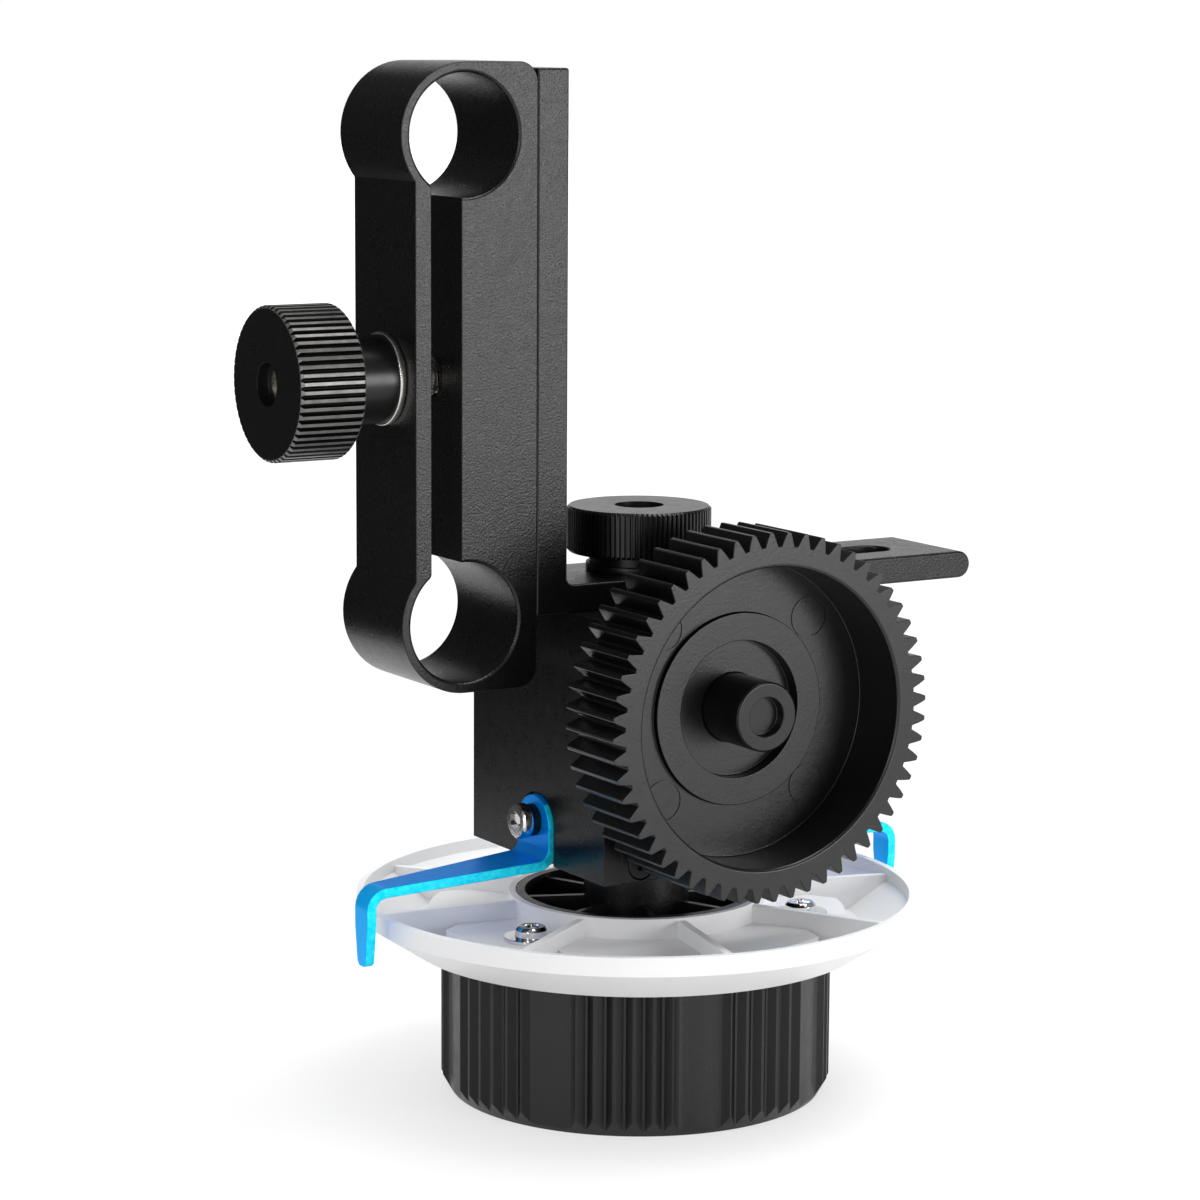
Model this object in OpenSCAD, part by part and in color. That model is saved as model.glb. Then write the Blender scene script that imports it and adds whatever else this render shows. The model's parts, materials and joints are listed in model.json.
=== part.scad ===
// Follow focus unit for a pair of 15 mm support rods.
// +Z is the handwheel axis, pointing up. The origin is the centre of the handwheel's
// bottom face. +X runs along the slotted arm and -Y points to the drive gear.

/* [Handwheel] */
// Outer diameter of the grip
wheel_d = 51.4; // [50:0.2:56]
// Height of the grip
wheel_h = 19.7; // [18:0.1:24]
// Wall of the grip, measured under the grooves
wheel_wall = 2.4; // [2:0.1:2.8]
// Thickness of the closed bottom
wheel_floor = 2.4; // [2:0.1:3]
// Height of the chamfer round the bottom
wheel_edge = 2.1; // [1.6:0.1:2.6]
// Groups of grip grooves
groove_groups = 8; // [6:1:9]
// Grooves in each group
grooves = 5; // [4:1:5]
// Angle from one groove of a group to the next
groove_pitch = 5.6; // [5:0.1:5.8]
// Depth of a groove
groove_depth = 0.75; // [0.5:0.05:0.9]
// Depth of the smooth finger panels between the groups
panel_depth = 0.85; // [0.5:0.05:0.95]
// Outer diameter of the neck that carries the disc
neck_d = 31.6; // [29:0.1:32]
// Wall of the neck
neck_wall = 1.1; // [1:0.1:1.6]
// Diameter of the hub round the input shaft
hub_d = 13.8; // [13:0.1:15]
// Spokes between the hub and the neck
spokes = 8; // [6:1:12]

/* [Marking disc] */
// Outer diameter of the disc
disc_d = 73.6; // [70:0.2:78]
// Diameter of the flat underside that sits on the grip
disc_base_d = 60.4; // [58:0.2:64]
// Height of the cone that takes the marks
disc_cone_h = 4.3; // [3.5:0.1:5]
// Height of the upright rim above the cone
disc_rim_h = 2.4; // [2:0.05:4]
// Wall of the disc
disc_wall = 1.4; // [1.2:0.1:2]
// Wall of the rim and of the collar
disc_lip = 0.9; // [0.7:0.1:1.3]
// Radial ribs on the back of the disc
disc_ribs = 8; // [6:1:10]
// Screws that hold the disc
disc_screws_count = 3; // [3:1:4]
// Pitch circle diameter of those screws
disc_screw_pcd = 43.4; // [42.6:0.1:44]

/* [Gearbox] */
// Width of the gearbox along the arm
box_w = 30.4; // [29.6:0.2:33]
// Depth of the gearbox along the drive axis
box_d = 33.4; // [33:0.2:36]
// Height of the gearbox
box_h = 33.55; // [32.6:0.05:36]
// Gap between the top of the grip and the gearbox
box_lift = 12.05; // [11.6:0.05:14]
// Side wall of the gearbox
box_wall = 2.6; // [2.2:0.1:3]
// Top and bottom wall of the gearbox
box_plate = 3; // [2.8:0.1:3.2]
// Thickness of the front and rear covers
cover_t = 2.9; // [2.4:0.1:3.4]
// How far a cover sits below the wall ends
cover_inset = 0.2; // [0.1:0.05:0.4]
// Distance of the drive axis below the top of the gearbox
drive_drop = 11.05; // [10.6:0.05:11.2]

/* [Bevel gears] */
// Teeth on each bevel gear
bevel_teeth = 14; // [12:2:14]
// Module of the bevel gears at their large end
bevel_module = 0.9; // [0.84:0.02:0.9]
// Face width along the pitch cone
bevel_face = 3; // [2.4:0.1:3.2]
// Backlash taken off each tooth
bevel_backlash = 0.12; // [0.06:0.02:0.2]

/* [Shafts] */
// Diameter of the input shaft and of the rear part of the output shaft
shaft_d = 6; // [5.6:0.1:6.4]
// Diameter of the output shaft's nose, which carries the drive gear
nose_d = 8.8; // [8.2:0.1:9]
// Length of the nose in front of the gearbox
nose_l = 13.4; // [12.4:0.1:13.6]
// Wall of the bushes
bush_wall = 1.3; // [1:0.1:1.5]
// Radial running clearance of a shaft
run_gap = 0.03; // [0.02:0.01:0.06]

/* [Drive gear] */
// Teeth of the drive gear
gear_teeth = 56; // [50:1:58]
// Module of the drive gear, the size that lens gears share
gear_module = 0.8; // [0.7:0.1:0.8]
// Width of the teeth
gear_w = 11.1; // [10:0.1:12]
// Gap between the gearbox and the gear
gear_gap = 3.9; // [3:0.1:5]
// Inner diameter of the rim
gear_rim_d = 37.8; // [36:0.2:40]
// Thickness of the web
gear_web = 2.8; // [2.2:0.1:3.4]
// Outer diameter of the raised ring on the web
gear_ring_d = 24.4; // [23:0.2:26]
// Inner diameter of that ring
gear_well_d = 17.4; // [16:0.2:18.4]
// Height of the ring above the web
gear_ring_h = 0.75; // [0.5:0.05:1.2]
// Thickness of the floor inside the ring
gear_seat = 1.8; // [1.4:0.1:2.4]

/* [Slotted bracket] */
// Width of the arm and depth of the upright
arm_w = 16; // [15:0.2:18]
// Thickness of the arm
arm_t = 3.6; // [3.2:0.1:4.4]
// Reach of the arm from the handwheel axis
arm_reach = 47.7; // [44:0.1:52]
// Width of the slot
slot_w = 5.5; // [5.4:0.1:6]
// Solid part of the arm past the slot
slot_end = 8.2; // [6:0.1:9]
// Thickness of the upright
upright_t = 4.5; // [4:0.1:5]
// Distance of the upright's top below the clamp's top
upright_drop = 0.8; // [0.4:0.1:2]

/* [Rod clamp] */
// Diameter of the rods
rod_d = 15; // [14.6:0.1:15.4]
// Distance between the rods
rod_spacing = 60; // [58:0.5:62]
// Radial clearance of an open bore
rod_gap = 0.05; // [0.02:0.01:0.1]
// Wall round each bore
ring_wall = 1.3; // [1.2:0.05:1.8]
// Distance of the bore axes from the upright
bore_offset = 10.2; // [10:0.1:11]
// Thickness of the solid bar beside the slit
bar_t = 10.7; // [10.4:0.1:11.4]
// Width of the slit
slit_w = 4.2; // [3.6:0.1:4.6]
// Thickness of the strap that the knob pulls in
strap_t = 2.2; // [1.8:0.1:2.6]

/* [Knobs] */
// Diameter of the clamp knob
clamp_knob_d = 19.2; // [18:0.2:21]
// Length of the clamp knob's knurled head
clamp_knob_l = 8.8; // [7:0.1:9]
// Flutes on the clamp knob
clamp_flutes = 58; // [50:1:66]
// Diameter of the clamp knob's hub
clamp_hub_d = 11; // [10:0.1:12]
// Length of the clamp knob's hub
clamp_hub_l = 6.5; // [6:0.1:8]
// Diameter of the lock knob
lock_knob_d = 18.8; // [18:0.2:20]
// Height of the lock knob's knurled head
lock_knob_l = 6; // [5:0.1:7]
// Flutes on the lock knob
lock_flutes = 88; // [80:1:92]
// Diameter of the lock knob's hub
lock_hub_d = 13; // [12:0.1:14]
// Height of the lock knob's hub
lock_hub_l = 1.35; // [1.2:0.05:3]
// Diameter of both screw studs
stud_d = 4.9; // [4.7:0.1:5]

/* [Pointers] */
// Width of a pointer at the gearbox
pointer_w = 7.8; // [7:0.1:8.6]
// Width of a pointer's tip
pointer_tip_w = 2.2; // [1.6:0.1:3]
// Thickness of the strip
pointer_t = 1.3; // [1:0.1:1.5]
// Clearance between a pointer's leg and the disc
pointer_gap = 2.7; // [1.2:0.1:3]
// How far a pointer reaches down past the top of the rim
pointer_down = 5.35; // [4:0.05:6.4]
// How much the strip falls between the gearbox and the leg
pointer_fall = 1.6; // [1:0.1:1.8]
// Depth of the pocket in the gearbox wall
pocket_depth = 0.8; // [0.5:0.1:1]

/* [Hidden] */
$fn = 96;
over = 1;
fit = 0.1;
seat_gap = 0.03;
round_fn = 32;

// Handwheel
wheel_r = wheel_d / 2;
neck_r = neck_d / 2;
wheel_turn = 10.1;
edge_in_share = 0.57;
edge_in = wheel_edge * edge_in_share;
groove_shares = [[0.08, 0], [0.44, 1], [0.56, 1], [0.92, 0]];
panel_shares = [
  [0, 0], [0.05, 0.5], [0.11, 0.85], [0.19, 1], [0.35, 1], [0.5, 1],
  [0.65, 1], [0.81, 1], [0.89, 0.85], [0.95, 0.5], [1, 0]
];
spoke_t = 0.9;
post_d = 5;
cap_d = 11.4;
cap_t = 1.2;
cap_edge = 0.3;
wheel_screw_d = 3;
wheel_head_d = 5.4;
wheel_head_h = 1.9;
wheel_head_sink = cap_t + 2 * fit;
wheel_hex_af = 2.5;
wheel_washer_d = 8.2;
wheel_washer_t = 0.8;
wheel_hub_seat = 1;
wheel_screw_l = 8;
wheel_screw_z = wheel_head_sink + wheel_head_h + wheel_washer_t;
screw_end = 0.5;

// Marking disc
disc_r = disc_d / 2;
disc_base_r = disc_base_d / 2;
disc_bottom = wheel_h;
disc_shoulder = disc_bottom + disc_cone_h;
disc_top = disc_shoulder + disc_rim_h;
disc_middle = disc_bottom + disc_wall / 2;
neck_over = 2.2;
neck_top = disc_shoulder + neck_over;
collar_r = neck_r + fit;
disc_rib_t = 1;
disc_rib_turn = 213.5;
disc_rib_drop = 0.9;
pad_h = 3.9;
pad_top = disc_bottom + pad_h;
pad_edge = 2.7;
pad_r = disc_base_r - pad_edge;
pad_side_share = 0.87;
pad_side_r = pad_r * pad_side_share;
pad_angle_share = 0.68;
pad_steps = 8;
disc_screw_turn = 80.5;
disc_screw_d = 2.2;
disc_flange_d = 7.2;
disc_flange_t = 0.5;
disc_seat_gap = 0.2;
disc_head_d = 4.2;
disc_head_h = 1.3;
disc_screw_l = 9;
cross_w = 0.7;
cross_l = 2.6;
cross_depth = 0.8;

// Gearbox
box_z = wheel_h + box_lift;
box_top = box_z + box_h;
drive_z = box_top - drive_drop;
half_w = box_w / 2;
half_d = box_d / 2;
cover_back = half_d - cover_inset - cover_t;
cover_half_w = half_w - box_wall - fit;
cover_screw_d = 2;
cover_screw_l = 8;
cover_screw_side = 3;
cover_screw_x = cover_half_w - cover_screw_side;
cover_screw_edge = 2.1;
cover_head_d = 3.6;
cover_head_h = 1.2;
cover_hex_af = 1.3;
bottom_boss_d = 12;
stud_boss_d = 7.6;
stud_boss_h = 2;
tenon_l = 3.4;
tenon_in = 4.1;
tenon_h = 2.2;
slot_gap = 0.15;
tenon_r = slot_w / 2 - slot_gap;
bush_flange_t = 0.8;
bush_flange_w = 1.4;
washer_gap = 0.15;
friction_t = 0.6;

// Bevel gears
bevel_r = bevel_teeth * bevel_module / 2;
cone_l = bevel_r * sqrt(2);
bevel_share = (cone_l - bevel_face) / cone_l;
bevel_add = bevel_module;
bevel_ded_share = 1.2;
bevel_ded = bevel_ded_share * bevel_module;
bevel_low = bevel_r + bevel_ded / sqrt(2);
bevel_hub_d = 8.4;
bevel_hub_l = cover_back - bush_flange_t - washer_gap - bevel_low;
bevel_back = 0.8;
bottom_boss_h = drive_z - bevel_low - bevel_hub_l - washer_gap - box_z - box_plate;
flank_steps = 4;
pressure_angle = 20;
set_screw_d = 2;
set_screw_l = 1.8;

// Shafts and bushes
shaft_r = shaft_d / 2;
nose_r = nose_d / 2;
bush_r = shaft_r + bush_wall;
bush_flange_r = bush_r + bush_flange_w;
hub_top = box_z - bush_flange_t - washer_gap - friction_t;
input_bottom = wheel_screw_z + wheel_hub_seat;
shaft_end_share = 0.3;
input_top = drive_z - bevel_r * bevel_share - shaft_end_share * bevel_module;
nose_recess_d = 5;
nose_recess_h = 1.4;
nose_edge = 0.2;
seat_collar_w = 1.6;
seat_collar_t = 1.2;

// Drive gear
gear_back = half_d + gear_gap;
gear_pitch_r = gear_teeth * gear_module / 2;
gear_tip_r = gear_pitch_r + gear_module;
gear_ded_share = 1.25;
gear_root_r = gear_pitch_r - gear_ded_share * gear_module;
tip_half_share = 0.11;
pitch_half_share = 0.245;
root_half_share = 0.4;
gear_turn = 1.4;
rim_chamfer = 0.3;

// Slotted bracket
upright_gap = 0.3;
upright_x = -(half_w + upright_gap);
bar_x = upright_x - upright_t;
arm_top = box_top + arm_t;
slot_right = arm_reach - slot_end;
slot_r = slot_w / 2;
slot_play = 0.6;
slot_left = -slot_r - slot_play;
corner_fillet = 1;
bracket_screw_d = 4;
bracket_head_d = 7.6;
bracket_head_h = 2.2;
bracket_hex_af = 2.5;
bracket_hex_depth = 1.2;
bracket_screw_l = 9;
bracket_screw_in = 22;

// Rod clamp
bore_x = bar_x - bore_offset;
bore_r = rod_d / 2 + rod_gap;
ring_r = bore_r + ring_wall;
bore_low_z = box_top;
bore_high_z = bore_low_z + rod_spacing;
clamp_mid_z = (bore_low_z + bore_high_z) / 2;
clamp_d = arm_w;
slit_right = bar_x - bar_t;
slit_left = slit_right - slit_w;
strap_x = slit_left - strap_t;
clamp_corner = 2.5;
bore_chamfer = 0.3;
upright_top = bore_high_z + ring_r - upright_drop;

// Knobs
stud_r = stud_d / 2;
stud_gap = 0.05;
washer_t = 0.9;
clamp_washer_d = 11.6;
lock_washer_t = 1;
lock_washer_d = 13.8;
flute_shares = [0, 0.45, 0.62, 0.83];
flute_depth_share = 0.045;
fine_flute_share = 0.034;
knob_chamfer = 0.35;
clamp_face_hole_d = 5.4;
lock_face_hole_d = 6.4;
face_hole_depth = 1.6;
clamp_stud_in = 8;
lock_stud_in = 5;
clamp_back_x = strap_x - washer_t;
lock_seat_z = arm_top + lock_washer_t;

// Pointers
pointer_half = pointer_w / 2;
pocket_gap = 0.35;
tab_rise = 5.5;
tab_z = box_z + tab_rise;
tab_sink = 0.65;
tab_round_z = tab_z - tab_sink;
tab_face = half_w - pocket_depth + pointer_t;
leg_in = disc_r + pointer_gap;
leg_out = leg_in + pointer_t;
strip_rise = 0.9;
strip_top = box_z + strip_rise;
bend_r = 1.5;
leg_low = disc_top - pointer_down;
leg_taper = 0.9;
leg_corner = 0.5;
strip_end_w = 3.2;
bend_steps = 6;
spacer_d = 4.2;
spacer_t = 1.3;
pointer_head_d = 4.6;
pointer_head_h = 1.4;
pointer_screw_d = 2.5;
pointer_hex_af = 2.4;
pointer_hex_depth = 1;
pointer_screw_l = 4.3;

function polar(r, a) = [r * cos(a), r * sin(a)];

// Hexagon of a given size across its flats
module hex(af, h) {
  cylinder(d = af / cos(30), h = h, $fn = 6);
}

// Disc with a 45 degree chamfer at its far end
module chamfered(r, h, c) {
  cylinder(r = r, h = h - c);
  translate([0, 0, h - c]) cylinder(r1 = r, r2 = r - c, h = c);
}

// Outline of a knob with straight flutes
function flute_points(r, count, depth) = [
  for (i = [0 : count - 1], k = [0 : 3])
    polar(k < 2 ? r : r - depth, (i + flute_shares[k]) * 360 / count)
];

// Knurled head from z = 0 up, on a plain hub that points down
module knob(d, l, count, depth_share, hub_dia, hub_len, hole_dia) {
  difference() {
    union() {
      intersection() {
        linear_extrude(l) polygon(flute_points(d / 2, count, d * depth_share / 2));
        union() {
          cylinder(r1 = d / 2 - knob_chamfer, r2 = d / 2, h = knob_chamfer);
          translate([0, 0, knob_chamfer]) cylinder(r = d / 2, h = l - 2 * knob_chamfer);
          translate([0, 0, l - knob_chamfer])
            cylinder(r1 = d / 2, r2 = d / 2 - knob_chamfer, h = knob_chamfer);
        }
      }
      translate([0, 0, -hub_len]) cylinder(d = hub_dia, h = hub_len + knob_chamfer);
    }
    translate([0, 0, -hub_len - over]) cylinder(r = stud_r + seat_gap, h = hub_len + l + over);
    translate([0, 0, l - face_hole_depth]) cylinder(d = hole_dia, h = face_hole_depth + over);
  }
}

// Handwheel: outline of the grip, with grooves in groups and sunk panels between them
group_angle = 360 / groove_groups;
panel_angle = group_angle - grooves * groove_pitch;
function grip_points() = [
  for (g = [0 : groove_groups - 1])
    let (start = wheel_turn + g * group_angle - grooves * groove_pitch / 2)
    each concat(
      [for (i = [0 : grooves - 1], q = groove_shares)
        polar(wheel_r - q[1] * groove_depth, start + (i + q[0]) * groove_pitch)],
      [for (q = panel_shares)
        polar(wheel_r - q[1] * panel_depth, start + grooves * groove_pitch + q[0] * panel_angle)])
];

module disc_screw_places() {
  for (i = [0 : disc_screws_count - 1])
    rotate([0, 0, disc_screw_turn + i * 360 / disc_screws_count])
      translate([disc_screw_pcd / 2, 0, 0]) children();
}

module handwheel() {
  color([0.06, 0.06, 0.065]) difference() {
    union() {
      difference() {
        intersection() {
          linear_extrude(wheel_h) polygon(grip_points());
          union() {
            cylinder(r1 = wheel_r - edge_in, r2 = wheel_r + edge_in, h = 2 * wheel_edge);
            translate([0, 0, 2 * wheel_edge]) cylinder(r = wheel_r + edge_in, h = wheel_h);
          }
        }
        translate([0, 0, wheel_floor])
          cylinder(r = wheel_r - panel_depth - wheel_wall, h = wheel_h);
      }
      difference() {
        cylinder(r = neck_r, h = neck_top);
        translate([0, 0, wheel_floor]) cylinder(r = neck_r - neck_wall, h = neck_top);
      }
      cylinder(d = hub_d, h = hub_top);
      for (i = [0 : spokes - 1]) rotate([0, 0, (i + 0.5) * 360 / spokes])
        translate([0, -spoke_t / 2, 0])
          cube([neck_r - neck_wall / 2, spoke_t, neck_top - neck_wall / 2]);
      disc_screw_places() cylinder(d = post_d, h = wheel_h - fit);
    }
    translate([0, 0, input_bottom]) cylinder(r = shaft_r, h = hub_top);
    translate([0, 0, -over]) cylinder(d = wheel_screw_d + 2 * fit, h = input_bottom + 2 * over);
    translate([0, 0, -over]) cylinder(d = wheel_washer_d + 2 * fit, h = wheel_screw_z + over);
    translate([0, 0, -over]) cylinder(r = cap_d / 2 + seat_gap, h = cap_t + over);
    disc_screw_places() translate([0, 0, wheel_floor])
      cylinder(r = disc_screw_d / 2 + seat_gap, h = wheel_h);
  }
}

// Flush cap that closes the screw's recess in the bottom
module wheel_cap() {
  color([0.07, 0.07, 0.075]) translate([0, 0, cap_t]) mirror([0, 0, 1])
    chamfered(cap_d / 2, cap_t, cap_edge);
}

module wheel_screw_washer() {
  color([0.75, 0.75, 0.77]) translate([0, 0, wheel_screw_z - wheel_washer_t]) difference() {
    cylinder(d = wheel_washer_d, h = wheel_washer_t);
    translate([0, 0, -over]) cylinder(d = wheel_screw_d + fit, h = wheel_washer_t + 2 * over);
  }
}

module wheel_screw() {
  color([0.75, 0.75, 0.77]) difference() {
    translate([0, 0, wheel_head_sink]) union() {
      cylinder(d = wheel_head_d, h = wheel_head_h);
      cylinder(d = wheel_screw_d, h = wheel_head_h + wheel_washer_t + wheel_screw_l);
    }
    translate([0, 0, wheel_head_sink - over]) hex(wheel_hex_af, wheel_head_h / 2 + over);
  }
}

// Marking disc: a shallow dish with a ribbed back, open upwards
// The back has a raised ring round the collar, and a pad on it between each two ribs
module disc_ring() {
  ring_in = collar_r + disc_lip / 2;
  rotate_extrude() translate([ring_in, disc_middle])
    square([pad_side_r - ring_in, pad_top - disc_middle]);
}

module disc_pad(a) {
  step = 360 / disc_ribs;
  end = step * pad_angle_share / 2;
  rotate([0, 0, a]) translate([0, 0, disc_middle]) linear_extrude(pad_top - disc_middle)
    polygon(concat(
      [polar(collar_r + disc_lip, -end), polar(pad_side_r, -step / 2)],
      [for (i = [0 : pad_steps]) polar(pad_r, end * (2 * i / pad_steps - 1))],
      [polar(pad_side_r, step / 2), polar(collar_r + disc_lip, end)]));
}

module disc_rib(a) {
  rib_in = collar_r + disc_lip / 2;
  rib_out = disc_r - disc_lip / 2;
  rotate([0, 0, a]) translate([0, disc_rib_t / 2, 0]) rotate([90, 0, 0])
    linear_extrude(disc_rib_t) polygon([
      [rib_in, disc_middle], [disc_base_r, disc_middle],
      [rib_out, disc_shoulder + disc_wall / 4], [rib_out, disc_top - disc_rib_drop],
      [rib_in, neck_top - disc_lip / 3]]);
}

module marking_disc() {
  collar_out = collar_r + disc_lip;
  rib_step = 360 / disc_ribs;
  color([0.93, 0.93, 0.94]) difference() {
    union() {
      rotate_extrude() polygon([
        [collar_r, disc_bottom], [disc_base_r, disc_bottom], [disc_r, disc_shoulder],
        [disc_r, disc_top], [disc_r - disc_lip, disc_top],
        [disc_r - disc_lip, disc_shoulder + disc_wall / 2],
        [disc_base_r, disc_bottom + disc_wall], [collar_out, disc_bottom + disc_wall],
        [collar_out, neck_top], [collar_r, neck_top]]);
      disc_ring();
      for (i = [0 : disc_ribs - 1]) {
        disc_rib(disc_rib_turn + i * rib_step);
        disc_pad(disc_rib_turn + (i + 0.5) * rib_step);
      }
      disc_screw_places() translate([0, 0, disc_middle])
        cylinder(d = disc_flange_d + 2 * disc_lip, h = pad_top - disc_middle);
    }
    disc_screw_places() {
      cylinder(d = disc_screw_d + 2 * fit, h = disc_top);
      translate([0, 0, pad_top]) cylinder(d = disc_flange_d + 2 * disc_seat_gap, h = disc_top);
    }
  }
}

module disc_screw() {
  difference() {
    union() {
      translate([0, 0, -disc_screw_l]) cylinder(d = disc_screw_d, h = disc_screw_l + disc_flange_t);
      cylinder(d = disc_flange_d, h = disc_flange_t);
      translate([0, 0, disc_flange_t]) chamfered(disc_head_d / 2, disc_head_h, disc_head_h / 3);
    }
    for (a = [0, 90]) rotate([0, 0, a])
      translate([-cross_l / 2, -cross_w / 2, disc_flange_t + disc_head_h - cross_depth])
        cube([cross_l, cross_w, cross_depth + over]);
  }
}

module disc_screws() {
  color([0.8, 0.8, 0.82]) disc_screw_places() translate([0, 0, pad_top]) disc_screw();
}

// Bevel gear with its apex at the origin and its large end below.
// Each section of a tooth is an involute on the back cone, laid on the cone's surface.
function inv_angle(r, rb) =
  r <= rb ? 0 : sqrt(pow(r / rb, 2) - 1) * 180 / PI - acos(rb / r);
function flank(r, rp) =
  let (rb = rp * cos(pressure_angle))
  90 / (rp * 2 / bevel_module)
  - bevel_backlash / rp * 90 / PI
  + inv_angle(rp, rb) - inv_angle(r, rb);
function bevel_radii(rp) = [
  for (k = [0 : flank_steps])
    rp - bevel_ded + (bevel_add + bevel_ded) * k / flank_steps
];
// A height on the back cone, h above the pitch line, as radius and axial place
function cone_point(h, share) = [(bevel_r + h / sqrt(2)) * share, -(bevel_r - h / sqrt(2)) * share];
function bevel_ring(share) = let (rp = bevel_r * sqrt(2), radii = bevel_radii(rp)) [
  for (t = [0 : bevel_teeth - 1])
    let (mid = t * 360 / bevel_teeth)
    each concat(
      [for (k = [0 : flank_steps])
        let (h = radii[k] - rp, p = cone_point(h, share), a = flank(radii[k], rp) * sqrt(2))
        [p[0] * cos(mid - a), p[0] * sin(mid - a), p[1]]],
      [for (k = [flank_steps : -1 : 0])
        let (h = radii[k] - rp, p = cone_point(h, share), a = flank(radii[k], rp) * sqrt(2))
        [p[0] * cos(mid + a), p[0] * sin(mid + a), p[1]]])
];

module bevel_blank_teeth() {
  low = bevel_ring(1);
  high = bevel_ring(bevel_share);
  n = len(low);
  low_mid = [0, 0, -bevel_low];
  high_mid = [0, 0, -bevel_low * bevel_share];
  polyhedron(
    points = concat(low, high, [low_mid, high_mid]),
    faces = concat(
      [for (i = [0 : n - 1]) [i, n + i, n + (i + 1) % n]],
      [for (i = [0 : n - 1]) [i, n + (i + 1) % n, (i + 1) % n]],
      [for (i = [0 : n - 1]) [2 * n, i, (i + 1) % n]],
      [for (i = [0 : n - 1]) [2 * n + 1, n + (i + 1) % n, n + i]]));
}

// Whole bevel gear about Z, apex at the origin, hub pointing down
module bevel_gear() {
  hub_low = -bevel_low - bevel_hub_l;
  difference() {
    union() {
      bevel_blank_teeth();
      translate([0, 0, hub_low]) cylinder(d = bevel_hub_d, h = bevel_hub_l + bevel_back);
    }
    translate([0, 0, hub_low - over]) cylinder(r = shaft_r, h = 2 * bevel_r + bevel_hub_l);
    translate([0, 0, hub_low + bevel_hub_l / 2]) rotate([0, 90, 0])
      cylinder(r = set_screw_d / 2 + seat_gap, h = bevel_hub_d);
  }
}

module bevel_set_screw() {
  translate([shaft_r - run_gap, 0, -bevel_low - bevel_hub_l / 2]) rotate([0, 90, 0])
    difference() {
      cylinder(d = set_screw_d, h = set_screw_l);
      translate([0, 0, set_screw_l / 2]) hex(set_screw_d / 2, set_screw_l);
    }
}

module to_input() {
  translate([0, 0, drive_z]) children();
}

// The output gear is turned by half a tooth so that its gaps meet the input gear's teeth
module to_output() {
  translate([0, 0, drive_z]) rotate([90, 0, 0]) mirror([0, 0, 1])
    rotate([0, 0, 180 / bevel_teeth]) children();
}

module input_bevel() { color([0.72, 0.6, 0.35]) to_input() bevel_gear(); }
module output_bevel() { color([0.72, 0.6, 0.35]) to_output() bevel_gear(); }
module input_bevel_screw() { color([0.25, 0.25, 0.27]) to_input() bevel_set_screw(); }
module output_bevel_screw() { color([0.25, 0.25, 0.27]) to_output() bevel_set_screw(); }

// Shafts and bushes
module input_shaft() {
  color([0.7, 0.7, 0.72]) difference() {
    translate([0, 0, input_bottom]) cylinder(r = shaft_r - run_gap, h = input_top - input_bottom);
    translate([0, 0, input_bottom - over])
      cylinder(r = wheel_screw_d / 2 + seat_gap, h = wheel_screw_l - wheel_hub_seat + screw_end + over);
  }
}

module input_bush() {
  color([0.78, 0.6, 0.3]) difference() {
    union() {
      translate([0, 0, box_z - bush_flange_t]) cylinder(r = bush_flange_r, h = bush_flange_t);
      translate([0, 0, box_z]) cylinder(r = bush_r, h = box_plate + bottom_boss_h);
    }
    translate([0, 0, box_z - bush_flange_t - over])
      cylinder(r = shaft_r, h = box_plate + bottom_boss_h + bush_flange_t + 2 * over);
  }
}

// Spring washer that gives the wheel its drag, between the hub and the bush
module friction_washer() {
  color([0.75, 0.75, 0.77]) translate([0, 0, hub_top]) difference() {
    cylinder(r = bush_flange_r, h = friction_t);
    translate([0, 0, -over]) cylinder(r = shaft_r + fit, h = friction_t + 2 * over);
  }
}

// Bush in a cover. It is drawn for the front cover.
module cover_bush() {
  translate([0, -cover_back, drive_z]) rotate([90, 0, 0]) difference() {
    union() {
      translate([0, 0, -bush_flange_t]) cylinder(r = bush_flange_r, h = bush_flange_t);
      cylinder(r = bush_r, h = cover_t);
    }
    translate([0, 0, -bush_flange_t - over])
      cylinder(r = shaft_r, h = cover_t + bush_flange_t + 2 * over);
  }
}

module front_bush() { color([0.78, 0.6, 0.3]) cover_bush(); }
module rear_bush() { color([0.78, 0.6, 0.3]) mirror([0, 1, 0]) cover_bush(); }

// Output shaft: the nose points to -Y, with a collar that the drive gear sits against.
// The thin part runs back to the rear bush.
module output_shaft() {
  nose_start = half_d + washer_gap;
  rear_end = half_d - cover_inset;
  color([0.08, 0.08, 0.085]) translate([0, 0, drive_z]) rotate([90, 0, 0]) difference() {
    union() {
      translate([0, 0, -rear_end]) cylinder(r = shaft_r - run_gap, h = rear_end + nose_start + over);
      translate([0, 0, nose_start]) chamfered(nose_r, nose_l, nose_edge);
      translate([0, 0, gear_back - seat_collar_t]) cylinder(r = nose_r + seat_collar_w, h = seat_collar_t);
    }
    translate([0, 0, nose_start + nose_l - nose_recess_h])
      cylinder(d = nose_recess_d, h = nose_recess_h + over);
  }
}

// Gearbox shell: two side walls with a top and a bottom between them
module side_box(w, d, h) {
  translate([-w / 2, -d / 2, 0]) cube([w, d, h]);
}

module pocket_cut() {
  depth = pointer_t + over;
  translate([-half_w + pocket_depth, 0, tab_round_z]) rotate([0, -90, 0])
    cylinder(r = pointer_half + pocket_gap, h = depth);
  translate([-half_w + pocket_depth - depth, -pointer_half - pocket_gap, box_z - over])
    cube([depth, pointer_w + 2 * pocket_gap, tab_round_z - box_z + over]);
}

module cover_screw_places() {
  for (x = [-cover_screw_x, cover_screw_x], z = [box_z + cover_screw_edge, box_top - cover_screw_edge])
    translate([x, 0, z]) children();
}

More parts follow.
